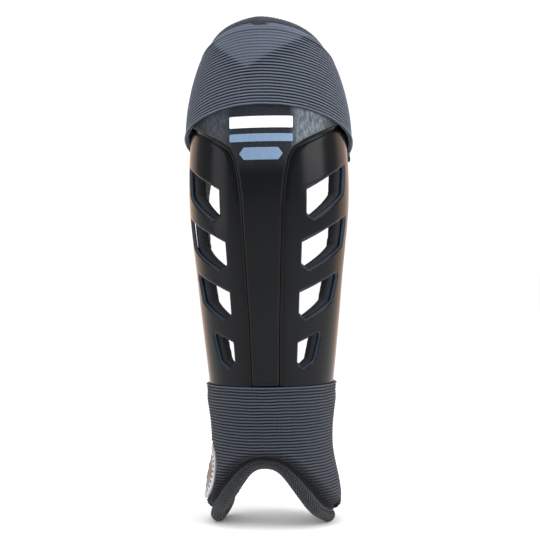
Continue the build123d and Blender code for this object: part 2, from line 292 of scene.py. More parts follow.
def skin(name, reach, span, step, cut, outer, inner, lift=None, rim=2, bulge=0.0, extra=None):
    """A layer of the form: a grid over angle and height, trimmed by a field and given thickness.

    reach is the pair of angles in degrees, span the heights, step the two cell sizes, cut a field that
    is negative where there is material, and lift what turns angle and row into height. outer and inner
    give the two faces' offsets from angle, height and cut's value. rim is the number of strips round
    the edge, bulge how far they swell, and extra the named values to put on the outer face.
    """
    th, z, keep, used = trimmed_grid(reach, span, step, cut, lift)
    number = -np.ones(th.shape, int)
    number[used] = np.arange(used.sum())
    th, z = th[used], z[used]
    d = np.minimum(cut(th, z), 0)
    off_out, off_in = outer(th, z, d), inner(th, z, d)
    n = len(th)
    verts = [place(th, z, off_out), place(th, z, off_in)]
    uv = [np.stack([th * arc_scale(z), z], 1)] * 2

    i, j = np.nonzero(keep)
    quad = [number[i, j], number[i, j + 1], number[i + 1, j + 1], number[i + 1, j]]
    front = np.stack(quad, 1)
    faces = [front, front[:, ::-1] + n]
    bordered = np.pad(keep, 1)
    edges = []
    for side, (di, dj) in enumerate(((-1, 0), (0, 1), (1, 0), (0, -1))):
        bare = ~bordered[i + 1 + di, j + 1 + dj]
        edges.append(np.stack([quad[side][bare], quad[(side + 1) % 4][bare]], 1))
    first, second = np.concatenate(edges).T

    on_edge = np.unique([first, second])
    th_e, z_e = th[on_edge], z[on_edge]
    _, along, up = slope_of(cut, th_e, z_e)
    steep = np.maximum(np.hypot(along, up), 1e-6)
    rings = [np.arange(n)]
    total = 2 * n
    for share in np.arange(1, rim) / rim:
        push = bulge * math.sin(math.pi * share)
        th_r = th_e + push * along / steep / arc_scale(z_e)
        z_r = z_e + push * up / steep
        off_r = off_out[on_edge] * (1 - share) + off_in[on_edge] * share
        verts.append(place(th_r, z_r, off_r))
        uv.append(np.stack([th_r * arc_scale(z_r), z_r + off_r], 1))
        ring = -np.ones(n, int)
        ring[on_edge] = total + np.arange(len(on_edge))
        rings.append(ring)
        total += len(on_edge)
    rings.append(np.arange(n) + n)
    for near, far in zip(rings, rings[1:]):
        faces.append(np.stack([near[second], near[first], far[first], far[second]], 1))

    attrs = {}
    for key, value in (extra or {}).items():
        # The painted edge highlight is set on the rim strips too.
        on_rim = 1.0 if key == "painted_edge_highlight" else 0.0
        attrs[key] = np.concatenate([value(th, z, d), np.zeros(n), np.full(total - 2 * n, on_rim)])
    faces = np.concatenate(faces).tolist()
    return new_object(name, np.concatenate(verts), faces, np.concatenate(uv) / UV_UNIT, attrs)


def curve_points(points, spacing):
    """Evenly spaced points on a smooth curve through the given ones."""
    p = np.asarray(points, float)
    gap = np.sqrt(np.linalg.norm(np.diff(p, axis=0), axis=1))
    knots = np.concatenate([[0], np.cumsum(gap)])
    fine = np.linspace(0, knots[-1], 60 * len(p))
    q = np.stack([smooth(fine, knots, p[:, i]) for i in range(3)], 1)
    run = np.concatenate([[0], np.cumsum(np.linalg.norm(np.diff(q, axis=0), axis=1))])
    n = max(int(run[-1] / spacing), 4)
    want = np.linspace(0, run[-1], n + 1)
    return np.stack([np.interp(want, run, q[:, i]) for i in range(3)], 1), want


ROLL_UV_RADIUS = 3.7    # turns the angle round a tube into millimetres for its UV


def tube(name, points, radius, spacing, sides, cap):
    """Closed tube along a smooth path. radius(run, angle) in mm; ends are domed over the length cap."""
    path, run = curve_points(points, spacing)
    tangent = np.gradient(path, axis=0)
    tangent /= np.linalg.norm(tangent, axis=1)[:, None]
    outward = path * [1, 1, 0]
    outward /= np.linalg.norm(outward, axis=1)[:, None]
    side = np.cross(tangent, outward)
    side /= np.linalg.norm(side, axis=1)[:, None]
    outward = np.cross(side, tangent)
    along, angle = np.meshgrid(run, np.linspace(0, 2 * np.pi, sides, endpoint=False), indexing="ij")
    to_end = np.clip(np.minimum(along, run[-1] - along) / cap, 0, 1)
    dome = np.maximum(np.sqrt(1 - (1 - to_end) ** 2), 0.02)
    reach = (radius(along, angle) * dome)[..., None]
    verts = (
        path[:, None, :] + reach * np.cos(angle)[..., None] * outward[:, None, :]
        + reach * np.sin(angle)[..., None] * side[:, None, :]
    )
    grid = np.arange(along.size).reshape(along.shape)
    turned = np.roll(grid, -1, 1)
    faces = np.stack([grid[:-1], grid[1:], turned[1:], turned[:-1]], -1).reshape(-1, 4).tolist()
    faces += [grid[0].tolist(), grid[-1][::-1].tolist()]
    uv = np.stack([along.ravel(), (angle * ROLL_UV_RADIUS).ravel()], 1) / UV_UNIT
    return new_object(name, verts.reshape(-1, 3), faces, uv)


def finish_piece(obj, body, slot, material, *nodes):
    """Material, body and the CAD nodes that a piece stands for. slot is not used."""
    obj.data.materials.append(material)
    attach(obj, body)
    if nodes:
        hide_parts(*nodes)


# ---------------------------------------------------------------- materials
def make(name, rough, **sockets):
    """A Principled material; sockets are set by name, with _ for a space."""
    mat = bpy.data.materials.new(name)
    mat.use_nodes = True
    shader = mat.node_tree.nodes["Principled BSDF"]
    shader.inputs["Roughness"].default_value = rough
    for key, value in sockets.items():
        shader.inputs[key.replace("_", " ")].default_value = value
    return mat, mat.node_tree, shader


def add(tree, kind, inputs=None, **props):
    """A node with its inputs linked or set."""
    node = tree.nodes.new(kind)
    for key, value in props.items():
        setattr(node, key, value)
    for key, value in (inputs or {}).items():
        if isinstance(value, bpy.types.NodeSocket):
            tree.links.new(value, node.inputs[key])
        else:
            node.inputs[key].default_value = value
    return node


def calc(tree, operation, *values):
    return add(tree, "ShaderNodeMath", dict(enumerate(values)), operation=operation).outputs[0]


def attribute(tree, name):
    return add(tree, "ShaderNodeAttribute", attribute_name=name).outputs["Fac"]


def noise(tree, vector, scale, detail=4.0, rough=0.55):
    return add(tree, "ShaderNodeTexNoise", {
        "Vector": vector, "Scale": scale, "Detail": detail, "Roughness": rough,
    }).outputs["Fac"]


def stretched(tree, vector, scale):
    return add(tree, "ShaderNodeMapping", {"Vector": vector, "Scale": scale}).outputs[0]


MIX_FACTOR, MIX_A, MIX_B, MIX_RESULT = 0, 6, 7, 2   # the colour sockets of the mix node


def mix(tree, fac, a, b):
    """Colour a where fac is 0 and b where it is 1; each may be a value or a socket."""
    node = add(tree, "ShaderNodeMix", data_type="RGBA")
    for socket, value in ((MIX_FACTOR, fac), (MIX_A, a), (MIX_B, b)):
        if isinstance(value, bpy.types.NodeSocket):
            tree.links.new(value, node.inputs[socket])
        else:
            node.inputs[socket].default_value = value if socket == MIX_FACTOR else (*value, 1)
    return node.outputs[MIX_RESULT]


def bump(tree, shader, height, distance, strength=1.0):
    """Adds a layer of relief to those that the shader already has."""
    node = add(tree, "ShaderNodeBump", {"Height": height, "Distance": distance, "Strength": strength})
    old = shader.inputs["Normal"].links
    if old:
        tree.links.new(old[0].from_socket, node.inputs["Normal"])
    tree.links.new(node.outputs[0], shader.inputs["Normal"])


def wave(tree, vector, direction, scale, distortion=0.0):
    return add(tree, "ShaderNodeTexWave", {
        "Vector": vector, "Scale": scale, "Distortion": distortion, "Detail": 2.0, "Detail Scale": 3.0,
    }, wave_type="BANDS", bands_direction=direction).outputs["Fac"]


def uv_of(tree):
    return add(tree, "ShaderNodeTexCoord").outputs["UV"]


def object_of(tree):
    return add(tree, "ShaderNodeTexCoord").outputs["Object"]


def set_colour(tree, shader, socket):
    tree.links.new(socket, shader.inputs["Base Color"])


def plastic():
    """Black moulded plastic, rougher and grained where "top" is set, with a painted sheen highlight on part
    of the grained band, painted shade at the foot of the step and a paler painted highlight on the cut edges.
    """
    mat, tree, shader = make("shell_plastic", 0.2, Specular_IOR_Level=0.16)
    uv = uv_of(tree)
    top = attribute(tree, "top")
    grain = noise(tree, stretched(tree, uv, (52, 20, 1)), 1.0, 5.0, 0.65)
    smudge = noise(tree, object_of(tree), 22.0, 3.0)
    scratch = noise(tree, stretched(tree, uv, (14, 220, 1)), 1.0, 2.0)
    rough = calc(tree, "MULTIPLY_ADD", top, 0.26, 0.13)
    rough = calc(tree, "ADD", rough, calc(tree, "MULTIPLY", smudge, 0.16))
    tree.links.new(rough, shader.inputs["Roughness"])
    dark = mix(tree, smudge, (0.0022, 0.0026, 0.0034), (0.0042, 0.0048, 0.0062))
    pale = mix(tree, grain, (0.006, 0.008, 0.012), (0.022, 0.028, 0.038))
    # Painted highlight: pale streaks on the grain beside the printed bars, standing in for sheen on the
    # grained band.
    painted_sheen_streaks = calc(tree, "MULTIPLY", calc(tree, "POWER", grain, 2.2), attribute(tree, "painted_sheen"))
    pale = mix(tree, calc(tree, "MULTIPLY", painted_sheen_streaks, 1.7), pale, (0.33, 0.38, 0.44))
    # Painted shade: near black at the foot of the step round the raised band.
    body = mix(tree, attribute(tree, "step"), mix(tree, top, dark, pale), (0.0012, 0.0012, 0.0015))
    # Painted highlight: pale blue-grey on the shell's cut edges, standing in for their reflection.
    set_colour(tree, shader, mix(tree, attribute(tree, "painted_edge_highlight"), body, (0.036, 0.052, 0.080)))
    bump(tree, shader, calc(tree, "MULTIPLY", grain, top), 0.0022)
    bump(tree, shader, calc(tree, "MULTIPLY", scratch, 0.12), 0.0001)
    return mat


def printed(name, low, high, rough=0.35):
    """Flat print with fine flecks."""
    mat, tree, shader = make(name, rough)
    uv = uv_of(tree)
    fleck = noise(tree, stretched(tree, uv, (60, 25, 1)), 1.0, 4.0)
    set_colour(tree, shader, mix(tree, fleck, low, high))
    bump(tree, shader, noise(tree, uv, 120.0, 3.0), 0.0002, 0.6)
    return mat


def knit(name, crest, painted_valley_shade, sheen):
    """Ribbed knit: pale on the ribs, with painted shade between them where "groove" is set, and fine stitch
    columns.
    """
    mat, tree, shader = make(name, 0.82, Sheen_Weight=sheen, Sheen_Roughness=0.4, Specular_IOR_Level=0.25)
    uv = uv_of(tree)
    stitch = wave(tree, uv, "X", 38.0, 1.5)
    fuzz = noise(tree, uv, 260.0, 5.0, 0.7)
    cloud = noise(tree, object_of(tree), 30.0, 3.0)
    lit = mix(tree, calc(tree, "MULTIPLY", stitch, 0.5), crest, tuple(c * 0.72 for c in crest))
    lit = mix(tree, calc(tree, "MULTIPLY", cloud, 0.5), lit, tuple(c * 0.7 for c in crest))
    # Painted shade between the ribs, where "groove" is set.
    set_colour(tree, shader, mix(tree, attribute(tree, "groove"), lit, painted_valley_shade))
    bump(tree, shader, fuzz, 0.0005)
    bump(tree, shader, stitch, 0.0004)
    return mat


def cloth(name, low, high, across, along, depth=0.0004, sheen=0.2):
    """Plain woven or grained soft material over the UV grid."""
    mat, tree, shader = make(name, 0.85, Sheen_Weight=sheen, Specular_IOR_Level=0.3)
    uv = uv_of(tree)
    weave = calc(tree, "MAXIMUM", wave(tree, uv, "X", across, 0.6), wave(tree, uv, "Y", along, 0.6))
    fuzz = noise(tree, uv, 220.0, 4.0, 0.7)
    set_colour(tree, shader, mix(tree, calc(tree, "MULTIPLY", weave, fuzz), low, high))
    bump(tree, shader, weave, depth)
    bump(tree, shader, fuzz, depth)
    return mat


def twill(name, low, high, scale):
    """Ribbed tape whose lines run on the slant."""
    mat, tree, shader = make(name, 0.75, Sheen_Weight=0.15, Specular_IOR_Level=0.3)
    uv = uv_of(tree)
    slant = add(tree, "ShaderNodeMapping", {"Vector": uv, "Rotation": (0, 0, 0.9)}).outputs[0]
    lines = wave(tree, slant, "X", scale, 0.8)
    fuzz = noise(tree, uv, 200.0, 4.0, 0.7)
    tone = calc(tree, "MULTIPLY", calc(tree, "POWER", lines, 1.5), fuzz)
    set_colour(tree, shader, mix(tree, calc(tree, "MULTIPLY", tone, 1.5), low, high))
    bump(tree, shader, lines, 0.0006)
    bump(tree, shader, fuzz, 0.0003)
    return mat


def foam(name, low, high):
    """Closed-cell foam."""
    mat, tree, shader = make(name, 0.9, Specular_IOR_Level=0.25)
    spot = object_of(tree)
    cells = add(tree, "ShaderNodeTexVoronoi", {"Vector": spot, "Scale": 1400.0}).outputs["Distance"]
    cloud = noise(tree, spot, 60.0, 4.0)
    set_colour(tree, shader, mix(tree, cloud, low, high))
    bump(tree, shader, cells, 0.0004)
    bump(tree, shader, cloud, 0.0006)
    return mat


def silver():
    """Brushed silver with dark marks where "marks" is set."""
    mat, tree, shader = make("badge_silver", 0.28, Metallic=0.55)
    fine = noise(tree, stretched(tree, uv_of(tree), (30, 200, 1)), 1.0, 3.0)
    bright = mix(tree, fine, (0.42, 0.43, 0.45), (0.66, 0.67, 0.69))
    set_colour(tree, shader, mix(tree, attribute(tree, "marks"), bright, (0.05, 0.05, 0.055)))
    bump(tree, shader, fine, 0.0001)
    return mat


SHELL = plastic()
WHITE = printed("print_white", (0.80, 0.83, 0.84), (0.95, 0.96, 0.96))
GREY = printed("print_grey", (0.13, 0.21, 0.33), (0.18, 0.27, 0.40))
MARK = printed("print_mark", (0.12, 0.19, 0.31), (0.17, 0.25, 0.38))
# The second colour of each knit is the painted shade between its ribs.
KNIT = knit("knit_upper", (0.175, 0.210, 0.285), (0.002, 0.0025, 0.004), 0.12)
KNIT_LOW = knit("knit_lower", (0.088, 0.108, 0.150), (0.0015, 0.002, 0.003), 0.1)
ROLL_KNIT = cloth("knit_roll", (0.018, 0.022, 0.03), (0.11, 0.13, 0.17), 45, 32, depth=0.0008)
BINDING = twill("binding", (0.0025, 0.003, 0.004), (0.036, 0.042, 0.058), 22.0)
FOAM = foam("foam_black", (0.003, 0.003, 0.004), (0.009, 0.010, 0.012))
LINER = foam("foam_grey", (0.012, 0.014, 0.017), (0.034, 0.038, 0.045))
LINING = cloth("lining", (0.03, 0.033, 0.04), (0.11, 0.118, 0.135), 60, 60)
WEBBING = cloth("webbing", (0.008, 0.009, 0.011), (0.04, 0.043, 0.05), 22, 34, depth=0.0007)
HOOKS = cloth("hook_tape", (0.006, 0.006, 0.008), (0.03, 0.031, 0.035), 60, 60, depth=0.0006, sheen=0.0)
LOOPS = cloth("loop_tape", (0.012, 0.013, 0.016), (0.06, 0.063, 0.07), 90, 90, depth=0.0008, sheen=0.6)
RUBBER = foam("pull_rubber", (0.010, 0.010, 0.012), (0.022, 0.022, 0.025))
THREAD = cloth("thread", (0.05, 0.055, 0.065), (0.14, 0.15, 0.17), 300, 300)
SILVER = silver()
BADGE = printed("badge_face", (0.075, 0.040, 0.022), (0.17, 0.10, 0.06), 0.4)


# ---------------------------------------------------------------- shell
# Right side of the raised band down the front, as x and height.
PANEL = [
    (9.6, 101.6), (10.6, 148), (12.4, 190), (14.2, 231), (16, 247), (18.3, 259), (22, 267.5),
    (30, 273), (40, 278.5), (52, 285.5), (62, 292),
]
PLATEAU = [(-x, z) for x, z in reversed(PANEL)] + PANEL + [(90, 345), (-90, 345)]
SHELL_SIDE = [
    (-75, 62), (4, 62), (12, 88), (8, 104), (0, 134), (-4, 170), (-4, 205), (0, 236), (8, 258),
    (13, 272), (14, 284), (12.5, 289), (8, 293.4), (-75, 341),
]
REACH = (-124, 124)     # degrees from the front, past both rear edges
window = vent_field(0.0)


def plateau(th, z):
    return inside(place(th, z, 0.0)[..., 0], z, PLATEAU)


def shell_side(th, z):
    return inside(side_y(th, z), z, SHELL_SIDE)


def shell_cut(th, z):
    return np.maximum(shell_side(th, z), -window(th, z))


def shell_outer(th, z, d):
    """The raised band with a bead inside its outline and a groove outside."""
    away = plateau(th, z)
    rise = 2.1 * ramp(-away, -0.5, 1.5)
    groove = -0.9 * np.exp(-((away - 1.7) / 1.5) ** 2) * ramp(away, -0.5, 0.8)
    bead = 0.12 * np.exp(-((away + 2.2) / 0.8) ** 2) * (away < 0)
    return rise + groove + bead + lip(d, 1.1, 0.9)


def top_grain(th, z, d):
    return ramp(-plateau(th, z), 0.2, 1.4) * ramp(z, 248, 272)


def painted_sheen(th, z, d):
    """Painted sheen highlight: paler streaks beside the printed bars, more so on the right."""
    x = place(th, z, 2.0)[..., 0]
    right = ramp(x, 19, 27) * ramp(x, 52, 36)
    left = ramp(-x, 19, 27) * ramp(-x, 46, 34)
    return right + 0.25 * left


# Painted highlight on the cut edges, strongest right at the edge.
def painted_edge_highlight(th, z, d):
    return ramp(d, -0.7, -0.1)


def step_shade(th, z, d):
    """Painted shade at the foot of the step round the raised band."""
    return np.exp(-((plateau(th, z) - 1.2) / 1.4) ** 2)


shell = skin(
    "guard_shell", (-108, 108), (60, 343), (0.8, 0.8), shell_cut, shell_outer, level(-2.6),
    extra={"top": top_grain, "painted_sheen": painted_sheen, "painted_edge_highlight": painted_edge_highlight, "step": step_shade},
)
finish_piece(shell, "guard", "shell_plastic", SHELL, "shell")

PRINT_REACH = (-32, 32)
PRINT_STEP = (0.5, 0.5)
PRINT_BASE = level(1.4)


def bar_field(middle_z, half_x, half_z):
    def field(th, z):
        return rounded_box(place(th, z, 2.0)[..., 0], z - middle_z, half_x, half_z, 0.7)

    return field


def mark_field(th, z):
    """A hexagon that is wider than it is high."""
    x = np.abs(place(th, z, 2.0)[..., 0])
    up = np.abs(z - 263.2)
    return np.maximum(up - 4.3, (x - 15) * 0.80 + up * 0.6)


def front_print(name, slot, material, node, field, span, face):
    piece = skin(name, PRINT_REACH, span, PRINT_STEP, field, face, PRINT_BASE)
    finish_piece(piece, "guard", slot, material, node)


INK = rounded(2.75, 0.4, 0.32)
front_print("white_print", "print_white", WHITE, "white_bar", bar_field(285, 21.8, 4.0), (279, 291), INK)
front_print("grey_print", "print_grey", GREY, "grey_bar", bar_field(274.2, 21.8, 2.75), (269, 280), INK)
front_print("raised_mark", "print_grey", MARK, "front_mark", mark_field, (257, 269), rounded(3.3, 0.8, 0.64))


# ---------------------------------------------------------------- padding behind the shell
BODY_SPAN = (4, 356)
body_line = body_field(-1.0)
body_arch = arch_field(-1.0)
liner_window = vent_field(-1.5)
lining_window = vent_field(-0.6)


def body_cut(th, z):
    return np.maximum(body_line(th, z), body_arch(th, z))


def liner_cut(th, z):
    return np.maximum(body_cut(th, z), -liner_window(th, z))


liner = skin(
    "liner_padding", REACH, BODY_SPAN, (1.5, 1.5), liner_cut,
    rounded(-3.4, 2.0, 1.2), rounded(-10.9, 2.0, -1.0), rim=5, bulge=0.8,
)
finish_piece(liner, "guard", "foam_black", LINER, "liner_foam")


def quilting(th, z):
    """Pressed channels in the lining that let air through."""
    run = th * arc_scale(z)
    one = np.abs(np.mod(run + 0.55 * z, 17.0) - 8.5)
    other = np.abs(np.mod(run - 0.55 * z, 17.0) - 8.5)
    return np.exp(-(np.minimum(one, other) / 1.3) ** 2)


def lining_cut(th, z):
    return np.maximum(body_cut(th, z), -lining_window(th, z))


def lining_inner(th, z, d):
    return -12.4 + 1.0 * quilting(th, z) * ramp(-d, 0.5, 4.0) - lip(d, 3.0, 1.2)


lining = skin("lining_fabric", REACH, BODY_SPAN, (1.4, 1.4), lining_cut, level(-11.0), lining_inner, rim=3)
finish_piece(lining, "guard", "lining", LINING, "liner_fabric")

PAD_GAP = 0.8       # between a pad's end and the shell's edge


def knee_cut(th, z):
    return np.maximum(np.maximum(body_cut(th, z), PAD_GAP - shell_side(th, z)), 262 - z)


def instep_cut(th, z):
    return np.maximum(np.maximum(body_cut(th, z), z - 99), PAD_GAP - shell_side(th, z))


knee = skin("knee_padding", REACH, (258, 356), (1.5, 1.5), knee_cut, rounded(1.6, 2.0, 1.5), level(-3.2))
finish_piece(knee, "guard", "foam_black", FOAM, "knee_pad")
instep = skin("instep_padding", REACH, (4, 100), (1.5, 1.5), instep_cut, rounded(-1.6, 6.0, 1.5), level(-3.4))
finish_piece(instep, "guard", "foam_black", FOAM, "instep_pad")


# ---------------------------------------------------------------- covers
UPPER_RIBS = 27
LOWER_PITCH = 2.12
LOWER_TOP = 101
COVER_REACH = (-118, 118)


def rib_wobble(th, z):
    """Slight unevenness of the ribs along their run."""
    run = th * arc_scale(z)
    return 0.16 * np.sin(run / 7.1 + 0.9 * np.sin(z / 9.0)) + 0.10 * np.sin(run / 2.3 + z / 4.0)


def rib_wave(phase):
    """Height of a rib, from -1 in the groove to 1 on its crest."""
    return np.abs(np.cos(phase / 2)) ** 0.8 * 2 - 1


def rib_shade(phase):
    return ramp(np.abs(np.cos(phase / 2)), 1.0, 0.5)


def past_rear_edge(th, z, points):
    """Distance behind the rear edge that the points of EDGE_SIDE give."""
    return side_y(th, z) - line(z, [(up, y) for y, up in points]) - 1.5


def upper_low(th):
    return line(side_y(th, 290.0), HEM_LINE)


def upper_high(th):
    return line(side_y(th, 335.0, -6.0), TOP_SIDE + [(40, 305)])


def upper_share(th, z):
    """Share of the way from the hem to the top edge."""
    low = upper_low(th)
    return (z - low) / (upper_high(th) - low)


def crease(th, z):
    """Signed distance from the V fold at the front of the upper cover, positive inside the V."""
    x = place(th, z, 3.0)[..., 0]
    left = (x + 38.0) * 0.64 - (346.0 - z) * 0.77
    right = (33.0 - x) * 0.52 - (347.5 - z) * 0.85
    return np.minimum(left, right)


def upper_phase(th, z):
    return 2 * np.pi * (upper_share(th, z) * UPPER_RIBS) + rib_wobble(th, z) * 1.5


def upper_depth(th, z):
    """Ribs are deeper just outside the fold, flatter inside it and where the shell pulls them."""
    v = crease(th, z)
    x = place(th, z, 3.0)[..., 0]
    pulled = np.exp(-((x + 8) / 9.0) ** 2) * ramp(z, 322, 312) * 0.35
    deep = 1 + 0.35 * np.exp(-((v + 3.0) / 4.0) ** 2)
    return 0.62 * deep * (1 - 0.55 * ramp(v, -0.8, 1.2)) * (1 - pulled)


def upper_outer(th, z, d):
    t = np.clip(upper_share(th, z), 0, 1)
    puff = 2.3 * np.sin(np.pi * t) ** 0.75
    fold = 0.75 * ramp(crease(th, z), -2.5, 3.5)
    rib = upper_depth(th, z) * rib_wave(upper_phase(th, z))
    tuck = -4.4 * ramp(t, 0.94, 1.0) - 0.6 * np.exp(-((t - 0.9) / 0.012) ** 2)
    hem = 0.5 * ramp(t, 0.05, 0.0)
    return 3.3 + puff + fold + rib + tuck + hem + lip(d, 3.0)


def upper_groove_painted_shade(th, z, d):
    # Painted shade between the ribs, stronger just outside the V fold and lighter inside it.
    v = crease(th, z)
    strength = 1.0 - 0.45 * ramp(v, -0.8, 1.2) + 0.3 * np.exp(-((v + 3.0) / 4.0) ** 2)
    return np.clip(strength * rib_shade(upper_phase(th, z)), 0, 1)


def upper_cut(th, z):
    return past_rear_edge(th, z, EDGE_SIDE[-6:])


def upper_hem_outer(th, z, d):
    edge = z - upper_low(th)
    bead = 0.3 + 0.3 * np.exp(-((edge - 0.1) / 0.6) ** 2)
    return upper_outer(th, z, d) + bead - 0.5 * ramp(edge, 0.0, -0.9)


upper = skin(
    "upper_knit_cover", COVER_REACH, (0, 1), (0.9, 0.0052), upper_cut, upper_outer, rounded(1.9, 3.0),
    lift=lambda th, t: upper_low(th) + t * (upper_high(th) - upper_low(th)), extra={"groove": upper_groove_painted_shade},
)
finish_piece(upper, "guard", "knit_ribbed", KNIT, "upper_cover")
upper_hem = skin(
    "upper_cover_hem", COVER_REACH, (-0.9, 3.4), (0.9, 0.3), upper_cut, upper_hem_outer, rounded(2.9, 3.0),
    lift=lambda th, up: upper_low(th) + up, extra={"groove": upper_groove_painted_shade},
)
finish_piece(upper_hem, "guard", "knit_ribbed", KNIT, "upper_hem")

BADGE_TH = math.radians(-83)
BADGE_Z = 38.0
BADGE_STRETCH = 1.03    # the badge's face stands a little off the form
DISC_RADIUS = 15.6
RING_RADIUS = 17.75
RING_HALF = 2.25
lower_body = body_field(2.2)
lower_arch = arch_field(-4.9)


def badge_polar(th, z):
    """Distance and direction from the badge's middle."""
    across = (th - BADGE_TH) * arc_scale(BADGE_Z) * BADGE_STRETCH
    return np.hypot(across, z - BADGE_Z), np.arctan2(z - BADGE_Z, across)


def lower_cut(th, z):
    """The cover stops short of the arch roll and of the lobes' rolled ends."""
    body = lower_body(th, z) + 5.6 * ramp(z, 62, 14)
    return np.maximum(np.maximum(body, lower_arch(th, z)), past_rear_edge(th, z, EDGE_SIDE[:8]))


def lower_phase(th, z):
    return 2 * np.pi * (LOWER_TOP - z) / LOWER_PITCH + 2.6 * rib_wobble(th, z)


def lower_outer(th, z, d):
    """Ribbed and puffed, with a brow over the arch, and pressed flat under the badge."""
    rib = 0.58 * rib_wave(lower_phase(th, z))
    puff = 1.6 * ramp(-d, 0, 12) * ramp(LOWER_TOP - z, 0, 12)
    brow = 0.8 * np.exp(-((d + 5.0) / 2.6) ** 2)
    pressed = ramp(badge_polar(th, z)[0], 22.5, 20.0)
    return 1.3 + (puff + brow + rib) * (1 - pressed) + lip(d, 4.0, 4.6)


def lower_groove_painted_shade(th, z, d):
    # Painted shade between the ribs and towards the cover's cut edges, where it tucks under at the arch and
    # lobes.
    return np.clip(rib_shade(lower_phase(th, z)) + 0.75 * ramp(d, -6.0, -0.5), 0, 1)


def lower_hem_outer(th, z, d):
    return lower_outer(th, z, d) + 0.3 + 0.35 * np.exp(-((z - 100.9) / 0.5) ** 2)


def lower_hem_groove_painted_shade(th, z, d):
    # Painted shade between the ribs, fading out towards the top of the hem.
    return lower_groove_painted_shade(th, z, d) * ramp(z, 100.6, 100.0)


lower = skin(
    "lower_knit_cover", REACH, (4, LOWER_TOP), (0.9, 0.33), lower_cut, lower_outer, rounded(-0.1, 4.0, 5.0),
    extra={"groove": lower_groove_painted_shade},
)
finish_piece(lower, "guard", "knit_ribbed", KNIT_LOW, "lower_cover")
lower_hem = skin(
    "lower_cover_hem", COVER_REACH, (97.2, 101.4), (0.9, 0.3), lower_cut, lower_hem_outer, rounded(0.3, 3.0),
    extra={"groove": lower_hem_groove_painted_shade},
)
finish_piece(lower_hem, "guard", "knit_ribbed", KNIT_LOW, "lower_hem")


# ---------------------------------------------------------------- rolled edges
def at_side(points, side, off):
    """Points given as y and height, put on the form."""
    out = []
    for y, z in points:
        half = float(half_width(z)) + off
        depth = (float(front_depth(z)) if y < 0 else REAR_RATIO * float(half_width(z))) + off
        out.append((side * half * math.sqrt(max(1 - (y / depth) ** 2, 0.0)), y, z))
    return out


def at_front(points, off):
    """Points given as x and height, put on the front of the form."""
    out = []
    for x, z in points:
        half = float(half_width(z)) + off
        depth = float(front_depth(z)) + off
        out.append((x, -depth * math.sqrt(max(1 - (x / half) ** 2, 0.0)), z))
    return out


TOP_OFF = -3.2
top_path = at_side(TOP_SIDE, -1, TOP_OFF) + [(0.0, -47.4, BODY_TOP)] + at_side(TOP_SIDE, 1, TOP_OFF)[::-1]
arch_points = [(-x + ARCH_SHIFT, z) for x, z in reversed(ARCH[1:])] + [(x + ARCH_SHIFT, z) for x, z in ARCH]
arch_path = (
    at_side(LOBE_SIDE[::-1], -1, ROLL_OFF) + at_front(arch_points, ROLL_OFF)
    + at_side(LOBE_SIDE, 1, ROLL_OFF)
)
arch_middle = curve_points(arch_path, 1.0)[1][-1] / 2


def knit_radius(run, angle):
    ribs = 0.16 * np.sin(2 * np.pi * run / 1.25 + angle)
    return 4.1 + ribs + 0.10 * np.sin(6 * angle + 2 * np.pi * run / 2.5)


def twill_radius(run, angle):
    """Thicker on the flanks of the arch, thinner round the lobes, with slanting ribs."""
    away = np.abs(run - arch_middle)
    size = 4.1 + 0.9 * ramp(away, 8, 40) - 0.8 * ramp(away, 72, 95)
    slant = 2 * np.pi * run / 1.9 + 2.2 * angle
    return size + 0.16 * np.sin(slant) + 0.06 * np.sin(2 * slant + 0.7 * np.sin(run / 6))


def tape_radius(run, angle):
    return 3.35 + 0.10 * np.sin(2 * np.pi * run / 1.5) + 0.05 * np.sin(5 * angle + run)


def rolled_edge(name, path, radius, spacing, sides, cap, slot, material, node):
    roll = tube(name, path, radius, spacing, sides, cap)
    finish_piece(roll, "guard", slot, material, node)


rolled_edge("top_rolled_edge", top_path, knit_radius, 0.35, 36, 2.5, "knit_ribbed", ROLL_KNIT, "top_roll")
rolled_edge("arch_rolled_edge", arch_path, twill_radius, 0.3, 36, 3.0, "binding", BINDING, "arch_roll")
for side, word in ((-1, "left"), (1, "right")):
    rolled_edge(
        "edge_tape_" + word, at_side(EDGE_SIDE, side, -7.4), tape_radius, 0.4, 28, 2.5,
        "binding", BINDING, "edge_binding_" + word,
    )


# ---------------------------------------------------------------- ankle badge
def disc_height(th, z, d):
    """A five-petal boss inside a raised rim."""
    r, a = badge_polar(th, z)
    petals = 0.35 * ramp(np.cos(5 * a), 0.2, 0.8) * ramp(r, 3.0, 4.0) * ramp(13.0, r, 12.0)
    return 2.6 + 0.5 * ramp(-r, -6.5, -5.5) + petals + lip(d, 0.8)


def ring_marks(th, z, d):
    """Even ticks round the ring, in place of lettering."""
    r, a = badge_polar(th, z)
    turn = np.abs(np.mod(a * 30 / (2 * np.pi), 1) - 0.5)
    return ramp(turn, 0.28, 0.20) * ramp(np.abs(r - 17.6), 1.5, 1.1)


def ring_height(th, z, d):
    return 3.5 - 0.5 * ring_marks(th, z, d) + lip(d, 0.9)


def disc_cut(th, z):
    return badge_polar(th, z)[0] - DISC_RADIUS


def ring_cut(th, z):
    return np.abs(badge_polar(th, z)[0] - RING_RADIUS) - RING_HALF


BADGE_REACH = (-112, -54)
BADGE_SPAN = (17, 59)
disc = skin("badge_disc", BADGE_REACH, BADGE_SPAN, (0.5, 0.5), disc_cut, disc_height, level(0.6))
finish_piece(disc, "guard", "badge_face", BADGE, "ankle_badge")
ring = skin(
    "badge_silver_ring", BADGE_REACH, BADGE_SPAN, (0.4, 0.4), ring_cut, ring_height, level(0.6),
    extra={"marks": ring_marks},
)
finish_piece(ring, "guard", "badge_silver", SILVER, "badge_ring")


